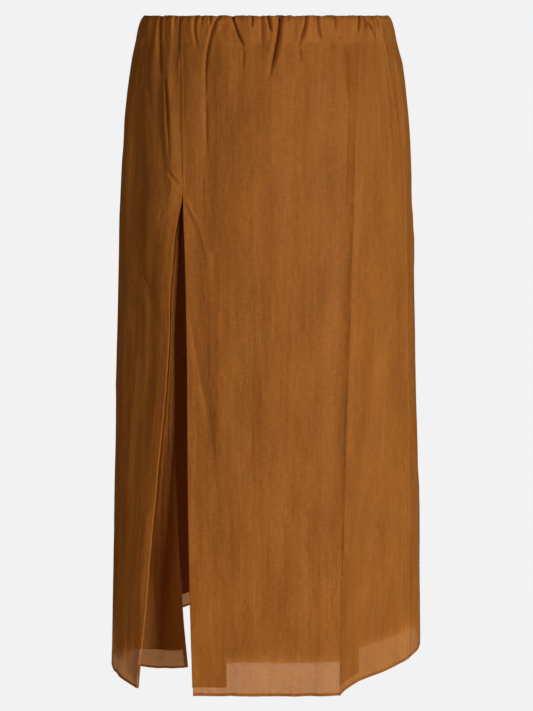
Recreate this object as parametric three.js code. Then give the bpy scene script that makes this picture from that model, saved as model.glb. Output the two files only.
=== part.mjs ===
// Maxi skirt with a gathered elastic waist and a thigh-high slit, in the hollow form that it takes when worn.
// Sizes are in millimetres. +Z is up and the front looks along -Y. The origin is the middle of the waist, half
// way up the elastic casing, where a wearer holds the skirt. Lengths down the skirt are drops below its top edge.
import * as THREE from "three";

// Driving sizes
const FRONT_LENGTH = 850; // top edge to front hem
const CASING_HEIGHT = 30; // tunnel round the elastic
const BACK_HEM_RISE = 8; // the back hem hangs this much higher than the front hem
const SLIT_TOP = 206; // drop at which the seam opens into the slit
const UNDERLAY_TOP = 262; // drop at which the underlay shows beside the slit
const FACING_COLUMNS = 3; // columns of a panel that the strip turned back behind its edge covers, about 45 mm
const FACING_SHORT = 8; // a facing ends this much above the hem
const LINING_HEM = 815; // drop of the lining's hem

// Cloth and seams
const SHELL_CLOTH = 1.2;
const LINING_CLOTH = 1.1;
const SEAM_GAP = 0.3; // between pieces that are sewn together
const CASING_INSIDE = 3; // the casing's plain inner face lies this far inside the line of the cloth

// Gathers round the waist
const GATHERS = 56;
const POINTS_PER_GATHER = 5;
const LOW_GATHER = 1.4; // height of the lowest
const GATHER_SPREAD = 2.0; // how much higher the highest is
const SHORT_GATHER = 26; // how far down the shortest runs below the casing
const GATHER_REACH = 80; // how much further the longest runs
const TOP_EDGE_SHARE = 0.45; // of a gather's height at the casing's top edge

// Stations round the skirt, in the order that the cloth line visits them
const SLIT_SEAM = 0;
const FRONT_SEAM = 1; // the pressed seam at the right of the front
const RIGHT_SIDE = 2;
const CENTRE_BACK = 3;
const LEFT_SIDE = 4;
const SLIT_EDGE = 5; // the slit seam again, and below it the left edge of the slit
const RIGHT_SEAM = 1.66; // side seams lie a little in front of the sides
const LEFT_SEAM = 4.2;
const COLUMNS_PER_SPAN = 13;
const LINING_COLUMNS_PER_SPAN = 8;

// One row for each level. frontY is the middle of the front and edgeY its two edges at slitX and seamX. turn and
// flapTurn are the directions, in degrees, in which the cloth leaves the front seam and reaches the slit's edge.
const SECTIONS = [
  { drop: 0, frontY: -92, edgeY: -66, slitX: -100, seamX: 106, turn: 28, rightX: 149, rightY: 0, backY: 91, leftX: -149, leftY: 0, flapTurn: 28 },
  { drop: 15, frontY: -93, edgeY: -67, slitX: -100, seamX: 107, turn: 28, rightX: 154.8, rightY: 0, backY: 94, leftX: -154.8, leftY: 0, flapTurn: 28 },
  { drop: 30, frontY: -95, edgeY: -70, slitX: -100, seamX: 107.5, turn: 29, rightX: 158.6, rightY: 0, backY: 97, leftX: -158.6, leftY: 0, flapTurn: 28 },
  { drop: 55, frontY: -100, edgeY: -78, slitX: -99.7, seamX: 107, turn: 30, rightX: 165.2, rightY: 2, backY: 103, leftX: -165, leftY: -1, flapTurn: 27 },
  { drop: 95, frontY: -106, edgeY: -87, slitX: -99.6, seamX: 106.4, turn: 32, rightX: 172.4, rightY: 4, backY: 112, leftX: -171.8, leftY: -2, flapTurn: 26 },
  { drop: 145, frontY: -112, edgeY: -98, slitX: -99.4, seamX: 104.8, turn: 34, rightX: 178.6, rightY: 6, backY: 122, leftX: -177.6, leftY: -4, flapTurn: 24 },
  { drop: 215, frontY: -117, edgeY: -108, slitX: -98.9, seamX: 103.8, turn: 37, rightX: 183.2, rightY: 8, backY: 131, leftX: -182.4, leftY: -8, flapTurn: 22 },
  { drop: 315, frontY: -120, edgeY: -115, slitX: -97.7, seamX: 102.3, turn: 42, rightX: 188.8, rightY: 11, backY: 138, leftX: -187, leftY: -13, flapTurn: 26 },
  { drop: 435, frontY: -122, edgeY: -119, slitX: -97.3, seamX: 99.8, turn: 47, rightX: 194.6, rightY: 14, backY: 144, leftX: -192.4, leftY: -20, flapTurn: 30 },
  { drop: 575, frontY: -123, edgeY: -121.5, slitX: -97.8, seamX: 98, turn: 51, rightX: 202.6, rightY: 18, backY: 150, leftX: -197.8, leftY: -28, flapTurn: 34 },
  { drop: 715, frontY: -124, edgeY: -123, slitX: -96.8, seamX: 97, turn: 54, rightX: 209.4, rightY: 23, backY: 156, leftX: -203.4, leftY: -36, flapTurn: 37 },
  { drop: 850, frontY: -125, edgeY: -124.5, slitX: -94.9, seamX: 96.1, turn: 56, rightX: 215.6, rightY: 28, backY: 162, leftX: -208.8, leftY: -44, flapTurn: 39 },
];

// The slit's left side, below its top: the flap's edge, and the free edge of the underlay that turns back from it
const SLIT = [
  { drop: 206, flapX: -99.6, flapY: -107.2, freeX: -99, freeY: -105.6 },
  { drop: 245, flapX: -108.8, flapY: -110.5, freeX: -100.5, freeY: -104.6 },
  { drop: 285, flapX: -113, flapY: -111.5, freeX: -103.5, freeY: -103.2 },
  { drop: 320, flapX: -116.2, flapY: -111.5, freeX: -109, freeY: -100.6 },
  { drop: 380, flapX: -118.6, flapY: -111.5, freeX: -113.2, freeY: -95.5 },
  { drop: 435, flapX: -123.4, flapY: -111, freeX: -114.2, freeY: -91.3 },
  { drop: 500, flapX: -130.6, flapY: -110, freeX: -114.5, freeY: -84.8 },
  { drop: 575, flapX: -139.6, flapY: -109, freeX: -115, freeY: -77 },
  { drop: 640, flapX: -147, flapY: -108, freeX: -114.3, freeY: -70 },
  { drop: 715, flapX: -154.4, flapY: -106.5, freeX: -112.5, freeY: -62 },
  { drop: 780, flapX: -161.2, flapY: -105.2, freeX: -110.3, freeY: -55 },
  { drop: 850, flapX: -169, flapY: -104, freeX: -106, freeY: -48 },
];

// How far the lining hangs inside the line of the shell
const LINING_INSET = [
  { drop: 0, inset: 1.7 },
  { drop: 40, inset: 2.4 },
  { drop: 95, inset: 6 },
  { drop: 215, inset: 12 },
  { drop: 435, inset: 18 },
  { drop: 715, inset: 23 },
  { drop: 850, inset: 25 },
];

// The largest folds. Each is a soft ridge, or a trough where its height is below nothing, that runs from one
// station at its upper end to another at its lower end. halfWidth and height are at its middle.
const FOLDS = [
  { name: "pinch by the middle of the front", from: -20, until: 118, upper: 0.475, lower: 0.42, halfWidth: 5, height: 3.2 },
  { name: "hollow beside that pinch", from: -10, until: 120, upper: 0.54, lower: 0.47, halfWidth: 6, height: -2.4 },
  { name: "slanting crease left of the middle", from: -15, until: 72, upper: 0.24, lower: 0.33, halfWidth: 4.5, height: -2.2 },
  { name: "long crease near the slit seam", from: 10, until: 190, upper: 0.17, lower: 0.13, halfWidth: 7, height: -2.6 },
  { name: "ridge beside that crease", from: 20, until: 260, upper: 0.09, lower: 0.06, halfWidth: 9, height: 2 },
  { name: "hollow along the front seam", from: 25, until: 760, upper: 0.94, lower: 0.93, halfWidth: 11, height: -3.2 },
  { name: "soft swell right of the middle", from: 120, until: 900, upper: 0.68, lower: 0.62, halfWidth: 34, height: 3 },
  { name: "drag line down from the slit's top", from: 150, until: 560, upper: 0.02, lower: 0.16, halfWidth: 10, height: -2.4 },
  { name: "hollow beyond the front seam at the hem", from: 380, until: 1300, upper: 1.2, lower: 1.26, halfWidth: 30, height: -6 },
  { name: "ridge down the right side from the waist", from: 0, until: 210, upper: 1.6, lower: 1.76, halfWidth: 6, height: 2.4 },
  { name: "swell down the right side", from: 200, until: 900, upper: 1.66, lower: 1.72, halfWidth: 20, height: 2.5 },
  { name: "crease above the slit", from: 25, until: 220, upper: 4.66, lower: 4.84, halfWidth: 10, height: -2.6 },
  { name: "hollow down the left side", from: 150, until: 620, upper: 4.5, lower: 4.66, halfWidth: 22, height: -5 },
  { name: "crease at the far left", from: 10, until: 240, upper: 4.32, lower: 4.4, halfWidth: 10, height: -2.6 },
  { name: "left fold of the back", from: 180, until: 1200, upper: 3.4, lower: 3.52, halfWidth: 30, height: -7 },
  { name: "middle fold of the back", from: 120, until: 1200, upper: 3.04, lower: 2.96, halfWidth: 34, height: -6 },
  { name: "right fold of the back", from: 200, until: 1200, upper: 2.58, lower: 2.46, halfWidth: 28, height: -7 },
];

const TOP_Z = CASING_HEIGHT / 2;
const PANEL_TOP = CASING_HEIGHT + SEAM_GAP;
const GATHERED_DROPS = [PANEL_TOP, 48, 72, 104];
const PLAIN_DROPS = [148, SLIT_TOP, 262, 320, 380, 450, 530, 620, 710, 785, FRONT_LENGTH];
const SPAN_LENGTH = 165; // a round figure for the cloth between two stations, for widths along it

const radians = THREE.MathUtils.degToRad;
const { lerp, smoothstep } = THREE.MathUtils;

// A table's row for any drop, on smooth curves through its rows
function rowAt(rows, drop) {
  const last = rows.length - 2;
  let i = rows.findIndex((row) => row.drop > drop) - 1;
  if (i < 0) i = drop <= rows[0].drop ? 0 : last;
  const [a, b] = [rows[i], rows[i + 1]];
  const span = b.drop - a.drop;
  const t = THREE.MathUtils.clamp((drop - a.drop) / span, 0, 1);
  const slope = (key, j) => {
    const [before, after] = [rows[Math.max(j - 1, 0)], rows[Math.min(j + 1, rows.length - 1)]];
    return (after[key] - before[key]) / (after.drop - before.drop);
  };
  const made = {};
  for (const key of Object.keys(a)) {
    const [m0, m1] = [slope(key, i) * span, slope(key, i + 1) * span];
    const [t2, t3] = [t * t, t * t * t];
    made[key] = (2 * t3 - 3 * t2 + 1) * a[key] + (t3 - 2 * t2 + t) * m0 + (3 * t2 - 2 * t3) * b[key] + (t3 - t2) * m1;
  }
  return made;
}

// A point of a cubic curve through four control points
function cubic(p0, p1, p2, p3, t) {
  return new THREE.CubicBezierCurve(p0, p1, p2, p3).getPoint(t);
}

const point = (x, y) => new THREE.Vector2(x, y);
const heading = (degrees) => point(Math.cos(radians(degrees)), Math.sin(radians(degrees)));

// A curve between two points that leaves and arrives in given directions
function leaving(start, out, end, into, reach, t) {
  const handle = start.distanceTo(end) * reach;
  const p1 = start.clone().addScaledVector(out, handle);
  const p2 = end.clone().addScaledVector(into, -handle);
  return cubic(start, p1, p2, end, t);
}

// The smooth line of the cloth at one level, before folds and gathers
function smoothLine(station, drop) {
  const s = rowAt(SECTIONS, drop);
  const slit = drop > SLIT_TOP ? rowAt(SLIT, drop) : { flapX: s.slitX, flapY: s.edgeY };
  const [seam, right] = [point(s.seamX, s.edgeY), point(s.rightX, s.rightY)];
  const [back, left] = [point(0, s.backY), point(s.leftX, s.leftY)];
  const span = Math.min(Math.floor(station), SLIT_EDGE - 1);
  const t = station - span;
  if (span === SLIT_SEAM) {
    const bowY = s.edgeY + ((s.frontY - s.edgeY) * 4) / 3;
    const third = (s.seamX - s.slitX) / 3;
    return cubic(point(s.slitX, s.edgeY), point(s.slitX + third, bowY), point(s.seamX - third, bowY), seam, t);
  }
  if (span === FRONT_SEAM) return leaving(seam, heading(s.turn), right, heading(90), 0.32, t);
  if (span === RIGHT_SIDE) return leaving(right, heading(90), back, heading(180), 0.42, t);
  if (span === CENTRE_BACK) return leaving(back, heading(180), left, heading(270), 0.42, t);
  return leaving(left, heading(270), point(slit.flapX, slit.flapY), heading(-s.flapTurn), 0.32, t);
}

// The direction out of a level line at a station. At the ends of a span it looks to one side only, for corners.
function outOf(line, station) {
  const low = Math.max(station - 0.004, Math.ceil(station - 1), SLIT_SEAM);
  const high = Math.min(station + 0.004, Math.floor(station) + 1 - 1e-6, SLIT_EDGE);
  const along = line(high).sub(line(low)).normalize();
  return point(along.y, -along.x);
}

// How far round the waist each station lies, from 0 to 1, in even steps of stations
const ROUND_STEPS = 500;
const roundTable = [0];
for (let i = 1; i <= ROUND_STEPS; i++) {
  const [a, b] = [i - 1, i].map((j) => smoothLine((j / ROUND_STEPS) * SLIT_EDGE, CASING_HEIGHT));
  roundTable.push(roundTable[i - 1] + a.distanceTo(b));
}
const WAIST_ROUND = roundTable[ROUND_STEPS];

function roundAt(station) {
  const at = (station / SLIT_EDGE) * ROUND_STEPS;
  const i = Math.min(Math.floor(at), ROUND_STEPS - 1);
  return lerp(roundTable[i], roundTable[i + 1], at - i) / WAIST_ROUND;
}

// A place round the waist as a count of gathers. Its whole numbers are the hollows, unevenly spaced.
function gatherCount(station) {
  const angle = roundAt(station) * 2 * Math.PI;
  return roundAt(station) * GATHERS + 0.45 * Math.sin(5 * angle + 0.7) + 0.3 * Math.sin(11 * angle + 2.1);
}

// A steady number from 0 to 1 for each gather
function pick(gather, salt) {
  const wrapped = ((gather % GATHERS) + GATHERS) % GATHERS;
  const n = Math.sin(wrapped * 12.9898 + salt * 78.233) * 43758.5453;
  return n - Math.floor(n);
}

// How far the gathers push the cloth out
function gatherHeight(station, drop) {
  const count = gatherCount(station);
  const gather = Math.floor(count);
  const bump = Math.sin(Math.PI * (count - gather)) ** 2;
  const height = LOW_GATHER + GATHER_SPREAD * pick(gather, 1);
  const reach = SHORT_GATHER + GATHER_REACH * pick(gather, 2) ** 2;
  const inCasing = lerp(TOP_EDGE_SHARE, 1, smoothstep(drop, 0, CASING_HEIGHT * 0.5));
  const below = Math.max(drop - CASING_HEIGHT, 0) / reach;
  return bump * height * inCasing * Math.exp(-1.3 * below * below);
}

// How far the largest folds push the cloth out, or in
function foldHeight(station, drop) {
  let height = 0;
  for (const fold of FOLDS) {
    const down = (drop - fold.from) / (fold.until - fold.from);
    if (down <= 0 || down >= 1) continue;
    const away = ((station - lerp(fold.upper, fold.lower, down)) * SPAN_LENGTH) / fold.halfWidth;
    height += fold.height * Math.sin(Math.PI * down) * Math.exp(-away * away);
  }
  return height;
}

// The hem's drop at a station, and a drop for any share of the way from the panels' top to the hem
function hemDrop(station) {
  const behind = (1 - Math.cos(2 * Math.PI * roundAt(station) - 0.8)) / 2;
  return FRONT_LENGTH - BACK_HEM_RISE * behind * smoothstep(station, FRONT_SEAM, RIGHT_SIDE) *
    (1 - smoothstep(station, LEFT_SIDE, SLIT_EDGE));
}

function hungDrop(station, drop) {
  return PANEL_TOP + ((drop - PANEL_TOP) * (hemDrop(station) - PANEL_TOP)) / (FRONT_LENGTH - PANEL_TOP);
}

// The direction in which folds and gathers push the cloth. It turns evenly round a corner.
function pushDirection(station, drop) {
  const isSewn = drop <= SLIT_TOP;
  const [a, b] = [station - 0.05, station + 0.05].map((at) =>
    smoothLine(isSewn ? (at + SLIT_EDGE) % SLIT_EDGE : THREE.MathUtils.clamp(at, SLIT_SEAM, SLIT_EDGE), drop));
  const along = b.sub(a).normalize();
  return point(along.y, -along.x);
}

// A place on the cloth: its point on the outer face, and the direction out of it
function clothAt(station, drop, gathered = true) {
  const line = (at) => {
    const push = foldHeight(at, drop) + (gathered ? gatherHeight(at, drop) : 0);
    return smoothLine(at, drop).addScaledVector(pushDirection(at, drop), push);
  };
  const [p, out] = [line(station), outOf(line, station)];
  return { at: station, p: new THREE.Vector3(p.x, p.y, TOP_Z - drop), out: new THREE.Vector3(out.x, out.y, 0) };
}

// The stations of a row of points between two stations, moved in by half a seam gap at each end
function stationsBetween(first, last, perSpan, endGap = SEAM_GAP / 2) {
  const count = Math.max(2, Math.round((last - first) * perSpan));
  const inset = endGap / SPAN_LENGTH;
  return Array.from({ length: count + 1 }, (_, i) => lerp(first + inset, last - inset, i / count));
}

// The stations of a row with several points to each gather
function gatherStations(first, last) {
  const inset = SEAM_GAP / 2 / SPAN_LENGTH;
  const [low, high] = [first + inset, last - inset];
  const stations = [low];
  const steps = 4000;
  for (let i = 1; i < steps; i++) {
    const station = lerp(low, high, i / steps);
    const next = lerp(low, high, (i + 1) / steps);
    const crosses = Math.floor(gatherCount(next) * POINTS_PER_GATHER) > Math.floor(gatherCount(station) * POINTS_PER_GATHER);
    const clear = station - stations[stations.length - 1] > 0.006 && high - station > 0.006;
    if (crosses && clear) stations.push(station);
  }
  return [...stations, high];
}

// Triangles between two rows of numbered points, whose places along the row need not match
function zip(upper, lower, triangles) {
  let [i, j] = [0, 0];
  while (i < upper.length - 1 || j < lower.length - 1) {
    const stepUpper = j === lower.length - 1 || (i < upper.length - 1 && upper[i + 1].at <= lower[j + 1].at);
    if (stepUpper) triangles.push([upper[i].id, lower[j].id, upper[++i].id]);
    else triangles.push([upper[i].id, lower[j].id, lower[++j].id]);
  }
}

// A closed wall from rows of places on its outer face and the matching rows of its inner face. A ring's rows meet
// themselves, and any other wall gets an edge at each end.
function wallGeometry(outerRows, innerRows, isRing) {
  const positions = [];
  const number = (row) => row.map(({ at, p }) => {
    positions.push(p.x, p.y, p.z);
    return { at, id: positions.length / 3 - 1 };
  });
  const close = (row) => (isRing ? [...row, { at: row[0].at + SLIT_EDGE, id: row[0].id }] : row);
  const [outer, inner] = [outerRows, innerRows].map((rows) => rows.map((row) => close(number(row))));
  const triangles = [];
  const turnedOver = [];
  for (let i = 0; i + 1 < outer.length; i++) zip(outer[i], outer[i + 1], triangles);
  for (let i = 0; i + 1 < inner.length; i++) zip(inner[i], inner[i + 1], turnedOver);
  zip(inner[0], outer[0], triangles);
  zip(outer[outer.length - 1], inner[inner.length - 1], triangles);
  if (!isRing) {
    const edge = (rows, pickEnd) => rows.map((row, i) => ({ at: i, id: pickEnd(row).id }));
    const [first, last] = [(row) => row[0], (row) => row[row.length - 1]];
    zip(edge(outer, first), edge(inner, first), triangles);
    zip(edge(outer, last), edge(inner, last), turnedOver);
  }
  for (const [a, b, c] of turnedOver) triangles.push([a, c, b]);
  const geometry = new THREE.BufferGeometry();
  geometry.setAttribute("position", new THREE.Float32BufferAttribute(positions, 3));
  geometry.setIndex(triangles.flat());
  geometry.computeVertexNormals();
  return geometry;
}

// The places of a row, moved along their directions: out of the cloth, or into it where the distance is negative
const moved = (row, distance) => row.map(({ at, p, out }) => ({ at, out, p: p.clone().addScaledVector(out, distance) }));

// A cloth wall of even thickness behind rows of places on its outer face
const clothWall = (rows, thickness) => wallGeometry(rows, rows.map((row) => moved(row, -thickness)), false);

// Where two walls meet at a corner, both end on the line that halves it. It is longer than a plain direction, so
// that the walls stay even.
function mitre(out, otherOut) {
  const half = out.clone().add(otherOut).normalize();
  return half.divideScalar(half.dot(out));
}

// The rows of places on one panel of the shell, from one station to another: close columns where it is gathered
function panelRows(first, last) {
  const gathered = gatherStations(first, last);
  const plain = stationsBetween(first, last, COLUMNS_PER_SPAN);
  const rowOf = (stations) => (drop) => stations.map((station) => clothAt(station, hungDrop(station, drop)));
  const rows = { gathered: GATHERED_DROPS.map(rowOf(gathered)), plain: PLAIN_DROPS.map(rowOf(plain)) };
  for (const row of [...rows.gathered, ...rows.plain]) {
    const [start, end] = [row[0], row[row.length - 1]];
    const drop = TOP_Z - start.p.z;
    const isSewn = drop < SLIT_TOP + 1;
    const before = first === SLIT_SEAM ? SLIT_EDGE : first;
    const after = last === SLIT_EDGE ? SLIT_SEAM : last;
    if (first !== SLIT_SEAM || isSewn) start.out = mitre(start.out, clothAt(before - 0.001, drop).out);
    if (last !== SLIT_EDGE || isSewn) end.out = mitre(end.out, clothAt(after + 0.001, drop).out);
  }
  return rows;
}

function shellPanel(first, last) {
  const { gathered, plain } = panelRows(first, last);
  return clothWall([...gathered, ...plain], SHELL_CLOTH);
}

// The elastic casing: gathered outside and plain inside
function casing() {
  const outerStations = gatherStations(SLIT_SEAM, SLIT_EDGE).slice(0, -1);
  const innerStations = stationsBetween(SLIT_SEAM, SLIT_EDGE, LINING_COLUMNS_PER_SPAN, 0).slice(0, -1);
  const drops = [0, CASING_HEIGHT * 0.4, CASING_HEIGHT];
  const outer = drops.map((drop) => outerStations.map((station) => clothAt(station, drop)));
  const innerRow = (drop) => moved(innerStations.map((station) => clothAt(station, drop, false)), -CASING_INSIDE);
  return wallGeometry(outer, [innerRow(0), innerRow(CASING_HEIGHT)], true);
}

// The turned-back strip behind a panel's first columns, from the level of the slit's top nearly to the hem
function facing(first, last) {
  const rows = panelRows(first, last).plain.slice(PLAIN_DROPS.indexOf(SLIT_TOP));
  const strip = rows.map((row) => moved(row.slice(0, FACING_COLUMNS + 1), -SHELL_CLOTH - SEAM_GAP));
  const [above, hem] = strip.slice(-2);
  hem.forEach((place, i) => place.p.lerp(above[i].p, FACING_SHORT / (above[i].p.z - place.p.z)));
  return clothWall(strip, LINING_CLOTH);
}

// A row of places along a curve that runs level, with the direction out on the right of its path
function levelRow(curve, count, drop, turned = 1) {
  return Array.from({ length: count + 1 }, (_, i) => {
    const t = i / count;
    const [a, b] = [curve(Math.max(t - 0.01, 0)), curve(Math.min(t + 0.01, 1))];
    const along = b.sub(a).normalize();
    const p = curve(t);
    return {
      at: t,
      p: new THREE.Vector3(p.x, p.y, TOP_Z - drop),
      out: new THREE.Vector3(along.y * turned, -along.x * turned, 0),
    };
  });
}

// The underlay: it runs back from the inside of the flap's edge, folds, and ends in a free edge behind the slit
function underlay() {
  const drops = [UNDERLAY_TOP, ...PLAIN_DROPS.filter((drop) => drop > UNDERLAY_TOP)];
  const rows = drops.map((drop) => {
    const s = rowAt(SLIT, drop);
    const depth = s.freeY - s.flapY;
    const flap = clothAt(SLIT_EDGE - 0.001, drop);
    const along = new THREE.Vector3(-flap.out.y, flap.out.x, 0);
    const seam = flap.p.clone().addScaledVector(flap.out, -SHELL_CLOTH - SEAM_GAP).addScaledVector(along, -0.3);
    const [start, free] = [point(seam.x, seam.y), point(s.freeX, s.freeY)];
    const corner = point(s.flapX - Math.min(2.5, depth * 0.12), s.freeY + depth * 0.07);
    const bow = corner.clone().lerp(free, 0.5).add(point(0, -0.16 * depth));
    const fold = Math.min(5, depth * 0.4);
    const [before, after] = [start, bow].map((end) => end.clone().sub(corner).setLength(fold).add(corner));
    const path = (t) => {
      if (t < 0.3) return start.clone().lerp(before, t / 0.3);
      if (t < 0.5) return new THREE.QuadraticBezierCurve(before, corner, after).getPoint((t - 0.3) / 0.2);
      return new THREE.QuadraticBezierCurve(after, bow, free).getPoint((t - 0.5) / 0.5);
    };
    const row = levelRow(path, 12, drop);
    row[0].out = along.divideScalar(along.dot(row[0].out));
    return row;
  });
  return clothWall(rows, LINING_CLOTH);
}

// The lining's line: the shell's line drawn in towards the middle of the skirt
function liningPlace(station, drop) {
  const { at, p, out } = clothAt(station, drop, false);
  const { inset } = rowAt(LINING_INSET, drop);
  const inward = new THREE.Vector3(-p.x, -p.y, 0);
  const share = inset / inward.length();
  return { at, out, p: p.clone().addScaledVector(inward, share) };
}

const LINING_DROPS = [PANEL_TOP, 60, 100, 150, SLIT_TOP, 262, 330, 430, 560, 700, LINING_HEM];

// A part of the lining between two stations. Its first station can move away from the slit as it goes down.
function lining(firstAt, last) {
  const rows = LINING_DROPS.map((drop) => {
    const stations = stationsBetween(firstAt(drop), last, LINING_COLUMNS_PER_SPAN);
    return stations.map((station) => liningPlace(station, hungDrop(station, drop)));
  });
  return clothWall(rows, LINING_CLOTH);
}

// The lining's left part: below the slit's top it leaves the shell and ends behind the underlay's free edge
const LINING_LEFT_FROM = 3.6;
function liningLeft() {
  const stations = stationsBetween(LINING_LEFT_FROM, SLIT_EDGE, LINING_COLUMNS_PER_SPAN);
  const rows = LINING_DROPS.map((level) => {
    const drop = hungDrop(LINING_LEFT_FROM, level);
    const s = rowAt(SLIT, Math.max(drop, SLIT_TOP));
    const start = liningPlace(stations[0], drop);
    const nextP = liningPlace(stations[0] + 0.05, drop).p;
    const set = point(nextP.x - start.p.x, nextP.y - start.p.y).normalize();
    const from = point(start.p.x, start.p.y);
    const end = point(s.freeX - 2.5, s.freeY + 4);
    const path = (t) => leaving(from, set, end, heading(-16), 0.36, t);
    const apart = smoothstep(drop, SLIT_TOP + 10, 430);
    const freeRow = levelRow(path, stations.length - 1, drop);
    return stations.map((station, i) => {
      const near = liningPlace(station, drop);
      const p = near.p.clone().lerp(freeRow[i].p, apart);
      return { at: station, p, out: near.out.clone().lerp(freeRow[i].out, apart).normalize() };
    });
  });
  return clothWall(rows, LINING_CLOTH);
}

// How far the lining's front edge lies from the slit, in stations, at a drop
const liningFrontEdge = (drop) => SLIT_SEAM + 0.12 * smoothstep(drop, SLIT_TOP, 330);

const shellCloth = new THREE.MeshStandardMaterial({ color: 0x96602b, roughness: 0.72, metalness: 0, side: THREE.DoubleSide });
const casingCloth = new THREE.MeshStandardMaterial({ color: 0x9a642e, roughness: 0.75, metalness: 0 });
const liningCloth = new THREE.MeshStandardMaterial({ color: 0x6b3f1b, roughness: 0.8, metalness: 0 });

const skirt = new THREE.Group();
function add(name, geometry, material) {
  const mesh = new THREE.Mesh(geometry, material);
  mesh.name = name;
  skirt.add(mesh);
}

add("waist_casing", casing(), casingCloth);
add("front_panel", shellPanel(SLIT_SEAM, FRONT_SEAM), shellCloth);
add("right_panel", shellPanel(FRONT_SEAM, RIGHT_SEAM), shellCloth);
add("back_panel", shellPanel(RIGHT_SEAM, LEFT_SEAM), shellCloth);
add("left_panel", shellPanel(LEFT_SEAM, SLIT_EDGE), shellCloth);
add("slit_facing", facing(SLIT_SEAM, FRONT_SEAM), shellCloth);
add("seam_facing", facing(FRONT_SEAM, RIGHT_SEAM), shellCloth);
add("slit_underlay", underlay(), shellCloth);
add("lining_front", lining(liningFrontEdge, RIGHT_SEAM), liningCloth);
add("lining_back", lining(() => RIGHT_SEAM, LINING_LEFT_FROM), liningCloth);
add("lining_left", liningLeft(), liningCloth);

export default skirt;
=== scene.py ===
"""The look of the maxi skirt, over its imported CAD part.

Lengths are in millimetres until a mesh is made, in the part's own frame: +Z is up, the front looks along -Y,
and the origin is the middle of the waist. Drops are lengths down from the top edge. A station says where
round the skirt a place is: 0 is the slit seam, 1 the right front seam, 2 the right side, 3 the middle of the
back, 4 the left side, and 5 the slit seam again.
"""

import math
from collections import namedtuple

import bpy
import numpy as np
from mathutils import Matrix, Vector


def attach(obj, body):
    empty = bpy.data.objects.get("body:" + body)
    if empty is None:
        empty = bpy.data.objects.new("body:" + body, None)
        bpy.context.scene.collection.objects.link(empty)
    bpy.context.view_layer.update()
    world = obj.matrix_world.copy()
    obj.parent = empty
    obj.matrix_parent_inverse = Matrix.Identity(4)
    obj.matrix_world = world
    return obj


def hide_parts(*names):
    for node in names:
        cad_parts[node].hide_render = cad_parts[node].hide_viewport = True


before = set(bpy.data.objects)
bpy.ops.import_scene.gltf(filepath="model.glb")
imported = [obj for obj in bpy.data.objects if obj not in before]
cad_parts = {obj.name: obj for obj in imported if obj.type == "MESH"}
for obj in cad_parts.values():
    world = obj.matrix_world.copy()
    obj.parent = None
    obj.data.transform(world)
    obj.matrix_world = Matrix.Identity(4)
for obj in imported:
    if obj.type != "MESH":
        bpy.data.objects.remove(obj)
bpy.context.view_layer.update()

# Sizes
FRONT_LENGTH = 850
CASING_HEIGHT = 30
BACK_HEM_RISE = 8
SLIT_TOP = 200
UNDERLAY_TOP = 210
FACING_WIDTH = 45
FACING_HEM = 842
LINING_HEM = 815
TOP_Z = CASING_HEIGHT / 2

# Stations. A piece that ends at the slit seam ends just short of it.
RIGHT_SEAM = 1.66
LEFT_SEAM = 4.2
SLIT_EDGE = 5
LAST_STATION = SLIT_EDGE - 1e-6
LINING_LEFT_FROM = 3.6
LINING_TURN = 4.1

# How much cloth there is to a station: round the skirt, beside the side seams, across the front panel, along
# the facings, and at the most
SPAN_LENGTH = 165
SIDE_SPAN = 180
FRONT_SPAN = 190
FACING_SPAN = 195
LARGEST_SPAN = 200

# One row for each level, as in the part's source
Section = namedtuple("Section", "drop frontY edgeY slitX seamX turn rightX rightY backY leftX leftY flapTurn")
SECTIONS = [
    Section(0, -92, -66, -100, 106, 28, 149, 0, 91, -149, 0, 28),
    Section(15, -93, -67, -100, 107, 28, 154.8, 0, 94, -154.8, 0, 28),
    Section(30, -95, -70, -100, 107.5, 29, 158.6, 0, 97, -158.6, 0, 28),
    Section(55, -100, -78, -99.7, 107, 30, 165.2, 2, 103, -165, -1, 27),
    Section(95, -106, -87, -99.6, 106.4, 32, 172.4, 4, 112, -171.8, -2, 26),
    Section(145, -112, -98, -99.4, 104.8, 34, 178.6, 6, 122, -177.6, -4, 24),
    Section(215, -117, -108, -98.9, 103.8, 37, 183.2, 8, 131, -182.4, -8, 22),
    Section(315, -120, -115, -97.7, 102.3, 42, 188.8, 11, 138, -187, -13, 26),
    Section(435, -122, -119, -97.3, 99.8, 47, 194.6, 14, 144, -192.4, -20, 30),
    Section(575, -123, -121.5, -97.8, 98, 51, 202.6, 18, 150, -197.8, -28, 34),
    Section(715, -124, -123, -96.8, 97, 54, 209.4, 23, 156, -203.4, -36, 37),
    Section(850, -125, -124.5, -94.9, 96.1, 56, 215.6, 28, 162, -208.8, -44, 39),
]

# The flap's edge and the underlay's free edge, left of the slit. Its top is 6 mm higher than in the part's
# source.
SlitRow = namedtuple("SlitRow", "drop flapX flapY freeX freeY")
SLIT = [
    SlitRow(200, -99.3, -106.4, -98.9, -105.4),
    SlitRow(215, -103.0, -108.4, -99.1, -105.4),
    SlitRow(245, -108.8, -110.5, -100.5, -104.6),
    SlitRow(285, -113, -111.5, -103.5, -103.2),
    SlitRow(320, -116.2, -111.5, -109, -100.6),
    SlitRow(380, -118.6, -111.5, -113.2, -95.5),
    SlitRow(435, -123.4, -111, -114.2, -91.3),
    SlitRow(500, -130.6, -110, -114.5, -84.8),
    SlitRow(575, -139.6, -109, -115, -77),
    SlitRow(640, -147, -108, -114.3, -70),
    SlitRow(715, -154.4, -106.5, -112.5, -62),
    SlitRow(780, -161.2, -105.2, -110.3, -55),
    SlitRow(850, -169, -104, -106, -48),
]

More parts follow.
